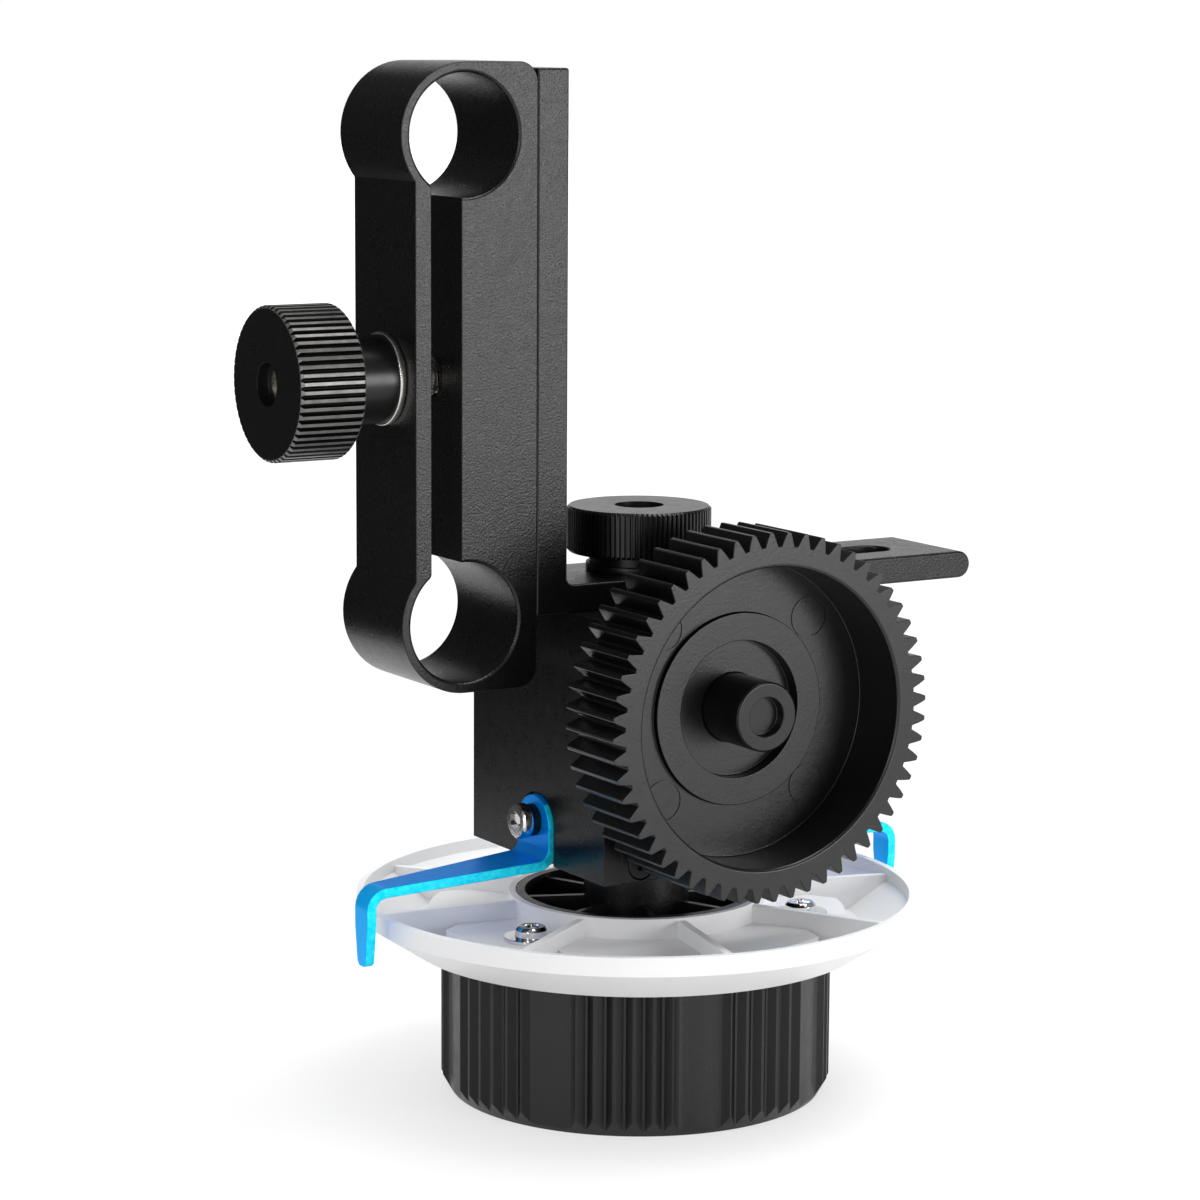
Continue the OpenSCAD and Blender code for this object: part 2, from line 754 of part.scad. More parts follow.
// Key on top of the gearbox, rounded at its outer end, that runs in the arm's slot
module tenon() {
  translate([tenon_in, 0, box_top - over]) {
    translate([0, -tenon_r, 0]) cube([tenon_l - tenon_r, 2 * tenon_r, tenon_h + over]);
    intersection() {
      translate([tenon_l - tenon_r, 0, 0]) cylinder(r = tenon_r, h = tenon_h + over);
      translate([0, -tenon_r, 0]) cube([tenon_l, 2 * tenon_r, tenon_h + over]);
    }
  }
}

module gearbox_shell() {
  inner_w = box_w - 2 * box_wall;
  color([0.09, 0.09, 0.1]) difference() {
    union() {
      difference() {
        translate([0, 0, box_z]) side_box(box_w, box_d, box_h);
        translate([0, 0, box_z + box_plate]) side_box(inner_w, box_d + 2 * over, box_h - 2 * box_plate);
        for (y = [-1, 1] * (cover_back + half_d)) translate([0, y, box_z - over])
          side_box(inner_w, 2 * half_d, box_h + 2 * over);
      }
      translate([0, 0, box_z]) cylinder(d = bottom_boss_d, h = box_plate + bottom_boss_h);
      translate([0, 0, box_top - box_plate - stud_boss_h]) cylinder(d = stud_boss_d, h = box_plate);
      tenon();
    }
    translate([0, 0, box_z - over])
      cylinder(r = bush_r + seat_gap, h = box_plate + bottom_boss_h + 2 * over);
    translate([0, 0, box_top - box_plate - stud_boss_h - over])
      cylinder(r = stud_r + stud_gap, h = box_plate + stud_boss_h + 2 * over);
    pocket_cut();
    mirror([1, 0, 0]) pocket_cut();
    for (s = [0, 180]) rotate([0, 0, s]) translate([-half_w, 0, tab_z]) rotate([0, 90, 0])
      translate([0, 0, -over]) cylinder(r = pointer_screw_d / 2 + seat_gap, h = box_wall + 2 * over);
    cover_screw_places() rotate([90, 0, 0])
      cylinder(r = cover_screw_d / 2 + seat_gap, h = box_d, center = true);
  }
}

module cover() {
  difference() {
    translate([-cover_half_w, -cover_back - cover_t, box_z])
      cube([2 * cover_half_w, cover_t, box_h]);
    translate([0, 0, drive_z]) rotate([90, 0, 0]) cylinder(r = bush_r + seat_gap, h = box_d);
    cover_screw_places() translate([0, -cover_back - cover_t, 0]) rotate([-90, 0, 0]) {
      translate([0, 0, -over]) cylinder(d = cover_screw_d + 2 * fit, h = cover_t + 2 * over);
      translate([0, 0, -over]) cylinder(d = cover_head_d + 2 * fit, h = cover_head_h + over);
    }
  }
}

module cover_screw_set() {
  cover_screw_places() translate([0, -cover_back - cover_t, 0]) rotate([-90, 0, 0]) difference() {
    union() {
      cylinder(d = cover_head_d, h = cover_head_h);
      cylinder(d = cover_screw_d, h = cover_screw_l);
    }
    translate([0, 0, -over]) hex(cover_hex_af, cover_head_h / 2 + over);
  }
}

module front_cover() { color([0.1, 0.1, 0.11]) cover(); }
module rear_cover() { color([0.1, 0.1, 0.11]) mirror([0, 1, 0]) cover(); }
module front_cover_screws() { color([0.2, 0.2, 0.22]) cover_screw_set(); }
module rear_cover_screws() { color([0.2, 0.2, 0.22]) mirror([0, 1, 0]) cover_screw_set(); }

// Drive gear
function gear_points() = [
  for (t = [0 : gear_teeth - 1], k = [0 : 5])
    let (
      pitch = 360 / gear_teeth,
      r = [gear_root_r, gear_pitch_r, gear_tip_r, gear_tip_r, gear_pitch_r, gear_root_r][k],
      a = [-root_half_share, -pitch_half_share, -tip_half_share,
           tip_half_share, pitch_half_share, root_half_share][k])
    polar(r, gear_turn + (t + a) * pitch)
];

module drive_gear() {
  color([0.1, 0.1, 0.105]) translate([0, -gear_back, drive_z]) rotate([90, 0, 0]) difference() {
    union() {
      difference() {
        linear_extrude(gear_w) polygon(gear_points());
        translate([0, 0, gear_web]) cylinder(d = gear_rim_d, h = gear_w);
        translate([0, 0, gear_w - rim_chamfer])
          cylinder(r1 = gear_rim_d / 2, r2 = gear_rim_d / 2 + 2 * rim_chamfer, h = 2 * rim_chamfer);
      }
      translate([0, 0, gear_web / 2]) cylinder(d = gear_ring_d, h = gear_web / 2 + gear_ring_h);
    }
    translate([0, 0, gear_seat]) cylinder(d = gear_well_d, h = gear_w);
    translate([0, 0, -over]) cylinder(r = nose_r + seat_gap, h = gear_w);
  }
}

// Slotted bracket: the upright and the arm as one bent piece
module oblong(x0, x1, r, h) {
  translate([x0 + r, 0, 0]) cylinder(r = r, h = h);
  translate([x1 - r, 0, 0]) cylinder(r = r, h = h);
  translate([x0 + r, -r, 0]) cube([x1 - x0 - 2 * r, 2 * r, h]);
}

module bracket_screw_places() {
  for (s = [-1, 1]) translate([upright_x, 0, clamp_mid_z + s * bracket_screw_in]) children();
}

module slotted_bracket() {
  end_r = arm_t / 2;
  color([0.1, 0.1, 0.11]) difference() {
    union() {
      translate([bar_x, -arm_w / 2, box_top]) cube([upright_t, arm_w, upright_top - box_top]);
      translate([bar_x, -arm_w / 2, box_top]) cube([arm_reach - end_r - bar_x, arm_w, arm_t]);
      translate([arm_reach - end_r, arm_w / 2, box_top + end_r]) rotate([90, 0, 0])
        cylinder(r = end_r, h = arm_w);
      translate([upright_x, arm_w / 2, arm_top]) rotate([90, 0, 0])
        linear_extrude(arm_w) difference() {
          square(corner_fillet);
          translate([corner_fillet, corner_fillet]) circle(r = corner_fillet, $fn = round_fn);
        }
    }
    translate([0, 0, box_top - over]) oblong(slot_left, slot_right, slot_r, arm_t + 2 * over);
    bracket_screw_places() rotate([0, -90, 0]) {
      translate([0, 0, -over]) cylinder(d = bracket_screw_d + 2 * fit, h = upright_t + 2 * over);
      translate([0, 0, -over]) cylinder(d = bracket_head_d + 2 * fit, h = bracket_head_h + over);
    }
  }
}

module bracket_screws() {
  color([0.2, 0.2, 0.22]) bracket_screw_places() rotate([0, -90, 0]) difference() {
    union() {
      cylinder(d = bracket_head_d, h = bracket_head_h);
      cylinder(d = bracket_screw_d, h = bracket_screw_l);
    }
    translate([0, 0, -over]) hex(bracket_hex_af, bracket_hex_depth + over);
  }
}

// Rod clamp: two split rings, a solid bar and a thin strap with the slit between them
module clamp_outline() {
  top = bore_high_z + ring_r;
  low = bore_low_z - ring_r;
  difference() {
    union() {
      for (z = [bore_low_z, bore_high_z]) translate([bore_x, z]) circle(r = ring_r);
      translate([bore_x, low]) square([bar_x - clamp_corner - bore_x, top - low]);
      translate([bore_x, low + clamp_corner])
        square([bar_x - bore_x, top - low - 2 * clamp_corner]);
      for (z = [low + clamp_corner, top - clamp_corner])
        translate([bar_x - clamp_corner, z]) circle(r = clamp_corner);
      translate([strap_x, bore_low_z]) square([bar_x - clamp_corner - strap_x, rod_spacing]);
    }
    for (z = [bore_low_z, bore_high_z]) translate([bore_x, z]) circle(r = bore_r);
    translate([slit_left, bore_low_z]) square([slit_w, rod_spacing]);
  }
}

module rod_clamp() {
  color([0.1, 0.1, 0.11]) difference() {
    translate([0, clamp_d / 2, 0]) rotate([90, 0, 0]) linear_extrude(clamp_d) clamp_outline();
    for (z = [bore_low_z, bore_high_z], s = [-1, 1])
      translate([bore_x, s * (clamp_d / 2 - bore_chamfer), z]) rotate([-90 * s, 0, 0])
        cylinder(r1 = bore_r, r2 = bore_r + 2 * bore_chamfer, h = 2 * bore_chamfer);
    translate([strap_x - over, 0, clamp_mid_z]) rotate([0, 90, 0])
      cylinder(r = stud_r + fit, h = strap_t + 2 * over);
    translate([slit_right - over, 0, clamp_mid_z]) rotate([0, 90, 0])
      cylinder(r = stud_r + stud_gap, h = clamp_stud_in + 2 * over);
    for (s = [-1, 1]) translate([bar_x + over, 0, clamp_mid_z + s * bracket_screw_in])
      rotate([0, -90, 0])
        cylinder(r = bracket_screw_d / 2 + seat_gap, h = bracket_screw_l - upright_t + 2 * over);
  }
}

// Clamp knob, stud and washer. They point to -X.
module to_clamp() {
  translate([clamp_back_x, 0, clamp_mid_z]) rotate([0, -90, 0]) children();
}

module clamp_knob() {
  color([0.08, 0.08, 0.085]) to_clamp() translate([0, 0, clamp_hub_l])
    knob(clamp_knob_d, clamp_knob_l, clamp_flutes, flute_depth_share,
         clamp_hub_d, clamp_hub_l, clamp_face_hole_d);
}

module clamp_stud() {
  inside = washer_t + strap_t + slit_w + clamp_stud_in;
  color([0.78, 0.76, 0.74]) to_clamp() translate([0, 0, -inside])
    cylinder(r = stud_r, h = inside + clamp_hub_l + clamp_knob_l - face_hole_depth);
}

module clamp_washer() {
  color([0.8, 0.8, 0.82]) to_clamp() translate([0, 0, -washer_t]) difference() {
    cylinder(d = clamp_washer_d, h = washer_t);
    translate([0, 0, -over]) cylinder(r = stud_r + stud_gap, h = washer_t + 2 * over);
  }
}

// Lock knob, stud and washer. They point to +Z.
module lock_knob() {
  color([0.1, 0.1, 0.105]) translate([0, 0, lock_seat_z + lock_hub_l])
    knob(lock_knob_d, lock_knob_l, lock_flutes, fine_flute_share,
         lock_hub_d, lock_hub_l, lock_face_hole_d);
}

module lock_stud() {
  low = box_top - lock_stud_in;
  color([0.78, 0.76, 0.74]) translate([0, 0, low])
    cylinder(r = stud_r, h = lock_seat_z + lock_hub_l + lock_knob_l - face_hole_depth - low);
}

module lock_washer() {
  color([0.12, 0.12, 0.13]) translate([0, 0, arm_top]) difference() {
    cylinder(d = lock_washer_d, h = lock_washer_t);
    translate([0, 0, -over]) cylinder(r = stud_r + stud_gap, h = lock_washer_t + 2 * over);
  }
}

// Pointer on the left side: a tab in the pocket, a tapered strip and a short leg.
// Side outline as radius from the wheel axis and height.
function bend(cx, cz, r, a0, a1) = [
  for (i = [0 : bend_steps])
    let (a = a0 + (a1 - a0) * i / bend_steps) [cx + r * cos(a), cz + r * sin(a)]
];
function fall_at(x) = strip_top - pointer_fall * (x - tab_face) / (leg_out - tab_face);
function fall_angle() = atan(pointer_fall / (leg_out - tab_face));

module pointer_side() {
  drop = fall_angle();
  inner_top = [tab_face + bend_r, fall_at(tab_face + bend_r) + bend_r];
  outer_bend = [leg_in - bend_r, fall_at(leg_in - bend_r) - pointer_t - bend_r];
  tab_top = tab_round_z + pointer_half;
  polygon(concat(
    [[tab_face - pointer_t, tab_top], [tab_face, tab_top]],
    bend(inner_top[0], inner_top[1], bend_r, 180, 270 - drop),
    bend(outer_bend[0], outer_bend[1], bend_r + pointer_t, 90 - drop, 0),
    [[leg_out, leg_low], [leg_in, leg_low]],
    bend(outer_bend[0], outer_bend[1], bend_r, 0, 90 - drop),
    bend(inner_top[0], inner_top[1], bend_r + pointer_t, 270 - drop, 180)));
}

// Outline of the leg seen along the strip: narrower towards its cut corners
module leg_front() {
  tip = pointer_tip_w / 2;
  leg_top = fall_at(leg_in) - pointer_t - bend_r;
  half = [[pointer_half, tab_z + pointer_w], [pointer_half, leg_top], [tip + leg_taper, leg_top],
          [tip, leg_low + leg_corner], [tip - leg_corner, leg_low]];
  polygon(concat([for (p = half) [p[0], p[1]]],
    [for (i = [len(half) - 1 : -1 : 0]) [-half[i][0], half[i][1]]]));
}

module pointer() {
  strip_end = strip_end_w / 2;
  difference() {
    intersection() {
      translate([0, leg_out, 0]) rotate([90, 0, 0]) linear_extrude(2 * leg_out) pointer_side();
      union() {
        translate([0, 0, leg_low - over]) linear_extrude(tab_round_z - leg_low + over) polygon([
          [0, -pointer_half], [tab_face + bend_r, -pointer_half], [leg_out + over, -strip_end],
          [leg_out + over, strip_end], [tab_face + bend_r, pointer_half], [0, pointer_half]]);
        translate([0, 0, tab_round_z]) rotate([0, 90, 0]) cylinder(r = pointer_half, h = leg_out);
      }
      rotate([90, 0, 90]) linear_extrude(leg_out + over) leg_front();
    }
    translate([0, 0, tab_z]) rotate([0, 90, 0]) cylinder(d = pointer_screw_d + 2 * fit, h = leg_out);
  }
}

module pointer_spacer() {
  translate([tab_face, 0, tab_z]) rotate([0, 90, 0]) difference() {
    cylinder(d = spacer_d, h = spacer_t);
    translate([0, 0, -over]) cylinder(d = pointer_screw_d + fit, h = spacer_t + 2 * over);
  }
}

module pointer_screw() {
  translate([tab_face + spacer_t, 0, tab_z]) rotate([0, 90, 0]) difference() {
    union() {
      chamfered(pointer_head_d / 2, pointer_head_h, pointer_head_h / 5);
      translate([0, 0, -pointer_screw_l]) cylinder(d = pointer_screw_d, h = pointer_screw_l + over);
    }
    translate([0, 0, pointer_head_h - pointer_hex_depth]) hex(pointer_hex_af, pointer_head_h);
  }
}

module left() { rotate([0, 0, 180]) children(); }

module left_pointer() { color([0.0, 0.5, 0.85]) left() pointer(); }
module right_pointer() { color([0.0, 0.5, 0.85]) pointer(); }
module left_pointer_spacer() { color([0.1, 0.1, 0.11]) left() pointer_spacer(); }
module right_pointer_spacer() { color([0.1, 0.1, 0.11]) pointer_spacer(); }
module left_pointer_screw() { color([0.8, 0.8, 0.82]) left() pointer_screw(); }
module right_pointer_screw() { color([0.8, 0.8, 0.82]) pointer_screw(); }

rod_clamp();
slotted_bracket();
bracket_screws();
clamp_knob();
clamp_stud();
clamp_washer();
gearbox_shell();
front_cover();
rear_cover();
front_cover_screws();
rear_cover_screws();
lock_knob();
lock_stud();
lock_washer();
input_bush();
front_bush();
rear_bush();
left_pointer();
right_pointer();
left_pointer_spacer();
right_pointer_spacer();
left_pointer_screw();
right_pointer_screw();
handwheel();
marking_disc();
disc_screws();
input_shaft();
input_bevel();
input_bevel_screw();
friction_washer();
wheel_screw();
wheel_screw_washer();
wheel_cap();
output_shaft();
output_bevel();
output_bevel_screw();
drive_gear();
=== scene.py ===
import json
from math import cos, pi, radians, sin

import bmesh
import bpy
from mathutils import Matrix, Vector


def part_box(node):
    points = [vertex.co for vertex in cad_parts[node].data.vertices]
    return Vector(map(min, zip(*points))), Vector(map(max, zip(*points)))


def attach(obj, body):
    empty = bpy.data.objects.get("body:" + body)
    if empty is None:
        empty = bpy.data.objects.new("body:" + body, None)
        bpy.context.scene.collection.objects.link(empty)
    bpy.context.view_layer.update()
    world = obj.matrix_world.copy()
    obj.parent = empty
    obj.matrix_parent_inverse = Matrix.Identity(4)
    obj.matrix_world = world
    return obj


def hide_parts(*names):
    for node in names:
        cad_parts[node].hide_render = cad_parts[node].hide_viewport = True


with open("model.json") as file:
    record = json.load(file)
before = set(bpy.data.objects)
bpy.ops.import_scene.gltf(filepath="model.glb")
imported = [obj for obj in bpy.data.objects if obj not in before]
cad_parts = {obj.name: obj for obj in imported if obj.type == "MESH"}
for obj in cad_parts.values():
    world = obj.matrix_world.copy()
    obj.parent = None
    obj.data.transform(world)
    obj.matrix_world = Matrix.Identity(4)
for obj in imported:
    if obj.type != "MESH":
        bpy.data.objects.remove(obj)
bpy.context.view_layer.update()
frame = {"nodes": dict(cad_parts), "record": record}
MM = 0.001

NODES = frame["nodes"]
RECORD = frame["record"]
BODY_OF = {n: b for b, nodes in RECORD["behaviour"]["bodies"].items() for n in nodes}
SLOT_OF = {s["node"]: s["material_slot"] for s in RECORD["subparts"]}


# Camera: the photograph's viewpoint
CAMERA_PLACE = Vector((-0.24464, -0.39276, 0.13846))
CAMERA_TURN = radians(31.30)
CAMERA_DIP = radians(9.06)
CAMERA_ROLL = radians(-0.34)
CAMERA_LENS = 108
CAMERA_SENSOR = 36
CAMERA_SEES_FROM = 0.02
CAMERA_SEES_TO = 20


def make_camera():
    ahead = Vector((sin(CAMERA_TURN) * cos(CAMERA_DIP), cos(CAMERA_TURN) * cos(CAMERA_DIP),
                    -sin(CAMERA_DIP)))
    level = Vector((cos(CAMERA_TURN), -sin(CAMERA_TURN), 0))
    down = ahead.cross(level)
    right = cos(CAMERA_ROLL) * level + sin(CAMERA_ROLL) * down
    below = -sin(CAMERA_ROLL) * level + cos(CAMERA_ROLL) * down
    data = bpy.data.cameras.new("camera")
    data.lens = CAMERA_LENS
    data.sensor_width = CAMERA_SENSOR
    data.clip_start = CAMERA_SEES_FROM
    data.clip_end = CAMERA_SEES_TO
    camera = bpy.data.objects.new("camera", data)
    camera.matrix_world = Matrix((right, -below, -ahead)).transposed().to_4x4()
    camera.location = CAMERA_PLACE
    bpy.context.scene.collection.objects.link(camera)
    bpy.context.scene.camera = camera


# Noise patterns of the finishes, with the part of their range that is used
COLOUR_DETAIL = 4
GRAIN_DETAIL = 3
NOISE_ROUGHNESS = 0.55
NOISE_LOW = 0.3
NOISE_HIGH = 0.7
# The gloss pattern is this many times finer than the colour pattern
GLOSS_FINER = 14
WHITE = (1, 1, 1, 1)


def new_material(name):
    material = bpy.data.materials.new(name)
    material.use_nodes = True
    tree = material.node_tree
    return material, tree, tree.nodes["Principled BSDF"]


def noise(tree, scale, detail):
    texture = tree.nodes.new("ShaderNodeTexNoise")
    texture.inputs["Scale"].default_value = scale
    texture.inputs["Detail"].default_value = detail
    texture.inputs["Roughness"].default_value = NOISE_ROUGHNESS
    place = tree.nodes.new("ShaderNodeTexCoord").outputs["Object"]
    tree.links.new(place, texture.inputs["Vector"])
    return texture.outputs["Fac"]


def spread(tree, value, low, high, start=NOISE_LOW, end=NOISE_HIGH):
    """Goes from low to high while the value goes from start to end."""
    ranged = tree.nodes.new("ShaderNodeMapRange")
    ranged.inputs["From Min"].default_value = start
    ranged.inputs["From Max"].default_value = end
    ranged.inputs["To Min"].default_value = low
    ranged.inputs["To Max"].default_value = high
    tree.links.new(value, ranged.inputs["Value"])
    return ranged.outputs["Result"]


def combine(tree, operation, first, second):
    node = tree.nodes.new("ShaderNodeMath")
    node.operation = operation
    tree.links.new(first, node.inputs[0])
    tree.links.new(second, node.inputs[1])
    return node.outputs[0]


def blend_colours(tree, amount, first, second):
    mix = tree.nodes.new("ShaderNodeMix")
    mix.data_type = "RGBA"
    colours = [s for s in mix.inputs if s.type == "RGBA"]
    colours[0].default_value = (*first, 1)
    colours[1].default_value = (*second, 1)
    tree.links.new(amount, mix.inputs["Factor"])
    return [s for s in mix.outputs if s.type == "RGBA"][0]


def bump(tree, height, depth, normal):
    node = tree.nodes.new("ShaderNodeBump")
    node.inputs["Strength"].default_value = 1
    node.inputs["Distance"].default_value = depth
    tree.links.new(height, node.inputs["Height"])
    if normal:
        tree.links.new(normal, node.inputs["Normal"])
    return node.outputs["Normal"]


def surface(name, colour, shade, rough, metallic=0, specular=0.5, tint=None, patches=45,
            smear=0.06, grain=None, waves=None):
    """A finish with patches between two colours, gloss that varies by the smear, and fine relief.
    Grain and waves are a pattern's scale and its depth in millimetres."""
    material, tree, shader = new_material(name)
    slow = spread(tree, noise(tree, patches, COLOUR_DETAIL), 0, 1)
    tree.links.new(blend_colours(tree, slow, colour, shade), shader.inputs["Base Color"])
    fine = noise(tree, patches * GLOSS_FINER, COLOUR_DETAIL)
    tree.links.new(spread(tree, fine, rough - smear, rough + smear), shader.inputs["Roughness"])
    shader.inputs["Metallic"].default_value = metallic
    shader.inputs["Specular IOR Level"].default_value = specular
    if tint:
        shader.inputs["Specular Tint"].default_value = (*tint, 1)
    normal = None
    for relief in (waves, grain):
        if relief:
            scale, depth = relief
            normal = bump(tree, noise(tree, scale, GRAIN_DETAIL), depth * MM, normal)
    if normal:
        tree.links.new(normal, shader.inputs["Normal"])
    return material


# Blacks of the finishes, from the deepest to the palest
DEEP_BLACK = (0.002, 0.002, 0.0025)
PLAIN_BLACK = (0.003, 0.003, 0.003)
SOFT_BLACK = (0.004, 0.004, 0.0045)
DULL_BLACK = (0.005, 0.005, 0.005)
PALE_BLACK = (0.006, 0.006, 0.0065)

# The look of each material slot
SLOT_LOOKS = {
    "black_anodised": dict(colour=DEEP_BLACK, shade=SOFT_BLACK, rough=0.29, metallic=0.3,
                           specular=0.54, smear=0.03, grain=(3600, 0.06), waves=(260, 0.012)),
    "black_knurl": dict(colour=(0.003, 0.003, 0.0035), shade=(0.005, 0.005, 0.006), rough=0.30,
                        metallic=0.35, specular=0.55, smear=0.03, grain=(4500, 0.003)),
    "black_screw": dict(colour=(0.02, 0.02, 0.021), shade=(0.03, 0.03, 0.031), rough=0.34,
                        metallic=0.8, grain=(6000, 0.006)),
    "silver_steel": dict(colour=(0.60, 0.58, 0.55), shade=(0.68, 0.66, 0.63), rough=0.24,
                         metallic=1, grain=(4200, 0.004)),
    "chrome_screw": dict(colour=(0.70, 0.70, 0.71), shade=(0.77, 0.77, 0.78), rough=0.10,
                         metallic=1, smear=0.03, grain=(2600, 0.003)),
    "dark_steel": dict(colour=SOFT_BLACK, shade=PALE_BLACK, rough=0.32, metallic=0.3,
                       smear=0.03, grain=(4200, 0.006)),
    "bearing_brass": dict(colour=(0.62, 0.45, 0.20), shade=(0.70, 0.52, 0.25), rough=0.3,
                          metallic=1, grain=(4200, 0.006)),
    "grip_plastic": dict(colour=SOFT_BLACK, shade=PALE_BLACK, rough=0.36, specular=0.40,
                         smear=0.04, grain=(2600, 0.03), waves=(420, 0.015)),
    "gear_plastic": dict(colour=DEEP_BLACK, shade=SOFT_BLACK, rough=0.30, specular=0.47,
                         smear=0.03, grain=(2800, 0.016), waves=(170, 0.012)),
    "disc_plastic": dict(colour=(0.84, 0.84, 0.85), shade=(0.87, 0.87, 0.88), rough=0.36,
                         specular=0.3, smear=0.04, grain=(700, 0.0012)),
    "blue_anodised": dict(colour=(0, 0.27, 0.95), shade=(0, 0.31, 1), rough=0.38, metallic=0.5,
                          specular=0.8, tint=(0.2, 0.7, 1), smear=0.04, grain=(3000, 0.012)),
    "black_plastic": dict(colour=PLAIN_BLACK, shade=DULL_BLACK, rough=0.38, specular=0.3,
                          grain=(5200, 0.008)),
}
FINISH = {slot: surface(slot, **look) for slot, look in SLOT_LOOKS.items()}

# Finishes of single pieces, and painted highlights, painted light and painted shade on some of their
# faces
BOX_BLACK = surface("box_black", DEEP_BLACK, SOFT_BLACK, rough=0.29, metallic=0.3,
                    specular=0.46, smear=0.03, grain=(3600, 0.012), waves=(200, 0.012))
# Lighter grey for the clamp knob's ridge tops and rounded rim: a painted highlight
RIDGE_HIGHLIGHT = surface("ridge_highlight", (0.10, 0.097, 0.093), (0.17, 0.165, 0.158), rough=0.34,
                     metallic=0.5, patches=700, smear=0.08, grain=(2600, 0.01))
# Near black with hardly any reflection for the clamp knob's flutes: painted shade
SHADED_FLUTE_GAP = surface("shaded_flute_gap", (0.002, 0.002, 0.002), (0.003, 0.003, 0.003), rough=0.4,
                    specular=0.06, smear=0.04)
# Darker and less glossy black for the handwheel's groove walls: painted shade
SHADED_GRIP_GROOVE = surface("shaded_grip_groove", PLAIN_BLACK, DULL_BLACK, rough=0.42, specular=0.27,
                      smear=0.04, grain=(2600, 0.02))
# Lighter blue for the pointers' legs: painted light on the same blue metal
LIT_BLUE_LEG = surface("lit_blue_leg", (0, 0.40, 0.96), (0, 0.44, 1), rough=0.38, metallic=0.3,
                   specular=0.6, tint=(0, 0.5, 1), smear=0.04, grain=(3000, 0.012))
# Pointers' cut edges: a real granular relief, and a lighter cyan blue that is a painted highlight
BLUE_CUT_HIGHLIGHT = surface("blue_cut_edge_highlight", (0, 0.60, 0.97), (0.04, 0.86, 1), rough=0.42, metallic=0.3,
                   specular=0.6, tint=(0, 0.7, 1), patches=1300, smear=0.08, grain=(1800, 0.05))

# Each node's edge rounding in millimetres and the segments of that rounding
EDGES = {
    "rod_clamp": (0.35, 3), "slotted_bracket": (0.35, 3), "bracket_screws": (0.15, 2),
    "clamp_knob": (0.2, 3), "clamp_washer": (0.15, 2),
    "gearbox_shell": (0.22, 2), "front_cover": (0.2, 2), "rear_cover": (0.2, 2),
    "front_cover_screws": (0.12, 2), "rear_cover_screws": (0.12, 2),
    "lock_knob": (0.12, 2), "lock_stud": (0.3, 2), "lock_washer": (0.15, 2),
    "left_pointer": (0.12, 2), "right_pointer": (0.12, 2),
    "left_pointer_spacer": (0.1, 2), "right_pointer_spacer": (0.1, 2),
    "left_pointer_screw": (0.14, 2), "right_pointer_screw": (0.14, 2),
    "handwheel": (0.14, 2), "marking_disc": (0.2, 2), "disc_screws": (0.12, 2),
    "wheel_cap": (0.1, 2), "output_shaft": (0.15, 2), "drive_gear": (0.12, 2),
}
SMOOTH_BLACK = ("gearbox_shell", "front_cover", "rear_cover")
CREASE = radians(28)
SHADED_SHARP = radians(40)
SAME_PLANE = radians(0.4)
SAME_PLACE = 0.001 * MM


def merged_copy(node):
    """The node's loose triangles, joined into whole faces."""
    shape = bmesh.new()
    shape.from_mesh(NODES[node].data)
    bmesh.ops.remove_doubles(shape, verts=shape.verts, dist=SAME_PLACE)
    bmesh.ops.dissolve_limit(shape, angle_limit=SAME_PLANE, verts=shape.verts, edges=shape.edges)
    return shape


def round_edges(shape, edges, angle, width, segments):
    """Rounds those of the edges whose faces turn by more than the angle."""
    turning = [e for e in edges if len(e.link_faces) == 2 and e.calc_face_angle() > angle]
    bmesh.ops.bevel(shape, geom=turning, offset=width, offset_type="OFFSET", segments=segments,
                    profile=0.5, affect="EDGES", clamp_overlap=True, material=-1)


def put_in_scene(shape, name, finishes):
    mesh = bpy.data.meshes.new(name)
    shape.to_mesh(mesh)
    shape.free()
    for finish in finishes:
        mesh.materials.append(finish)
    made = bpy.data.objects.new(name, mesh)
    bpy.context.scene.collection.objects.link(made)
    return made


def add_piece(shape, name, body, finishes, replaced=()):
    piece = put_in_scene(shape, name, finishes)
    piece.data.shade_smooth()
    piece.data.set_sharp_from_angle(angle=SHADED_SHARP)
    even = piece.modifiers.new("even_shading", "WEIGHTED_NORMAL")
    even.keep_sharp = True
    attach(piece, body)
    if replaced:
        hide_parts(*replaced)


# Fluted rims of the handwheel's grip and of the clamp knob, with painted shade in the flutes and a
# painted highlight on the knob's ridges
GRIP_RADIUS = 25.7 * MM
GRIP_DEPTH = 0.75 * MM
KNOB_DEPTH = 0.43 * MM
# How much of a face's normal lies along the axis, at most on the flutes and at least on the ends
FLUTE_LEAN = 0.35
END_LEAN = 0.93
# How much of the normal of a ridge's top or a groove's floor points outwards, at least
OUTWARD = 0.86
# How far in from the ridge tops the rounded rim, the flutes and the ridges go, in flute depths
RIM_SHARE = 2
FLUTE_SHARE = 1.6
RIDGE_SHARE = 0.5


def paint_flutes(shape, centre, axis, top, depth, gap, ridge=None):
    """Gives flutes the finish numbered gap, a painted shade, on their walls alone where no ridge is
    numbered; the finish numbered ridge is a painted highlight.
    """
    for face in shape.faces:
        out = face.calc_center_median() - centre
        out -= out.dot(axis) * axis
        below = top - out.length
        lean = abs(face.normal.dot(axis))
        if ridge and FLUTE_LEAN < lean < END_LEAN and below < RIM_SHARE * depth:
            face.material_index = ridge
        if lean > FLUTE_LEAN or below > FLUTE_SHARE * depth:
            continue
        wall = face.normal.dot(out.normalized()) < OUTWARD
        if wall or (ridge and below > RIDGE_SHARE * depth):
            face.material_index = gap
        elif ridge:
            face.material_index = ridge


def paint_handwheel(shape):
    paint_flutes(shape, Vector((0, 0, 0)), Vector((0, 0, 1)), GRIP_RADIUS, GRIP_DEPTH, gap=1)


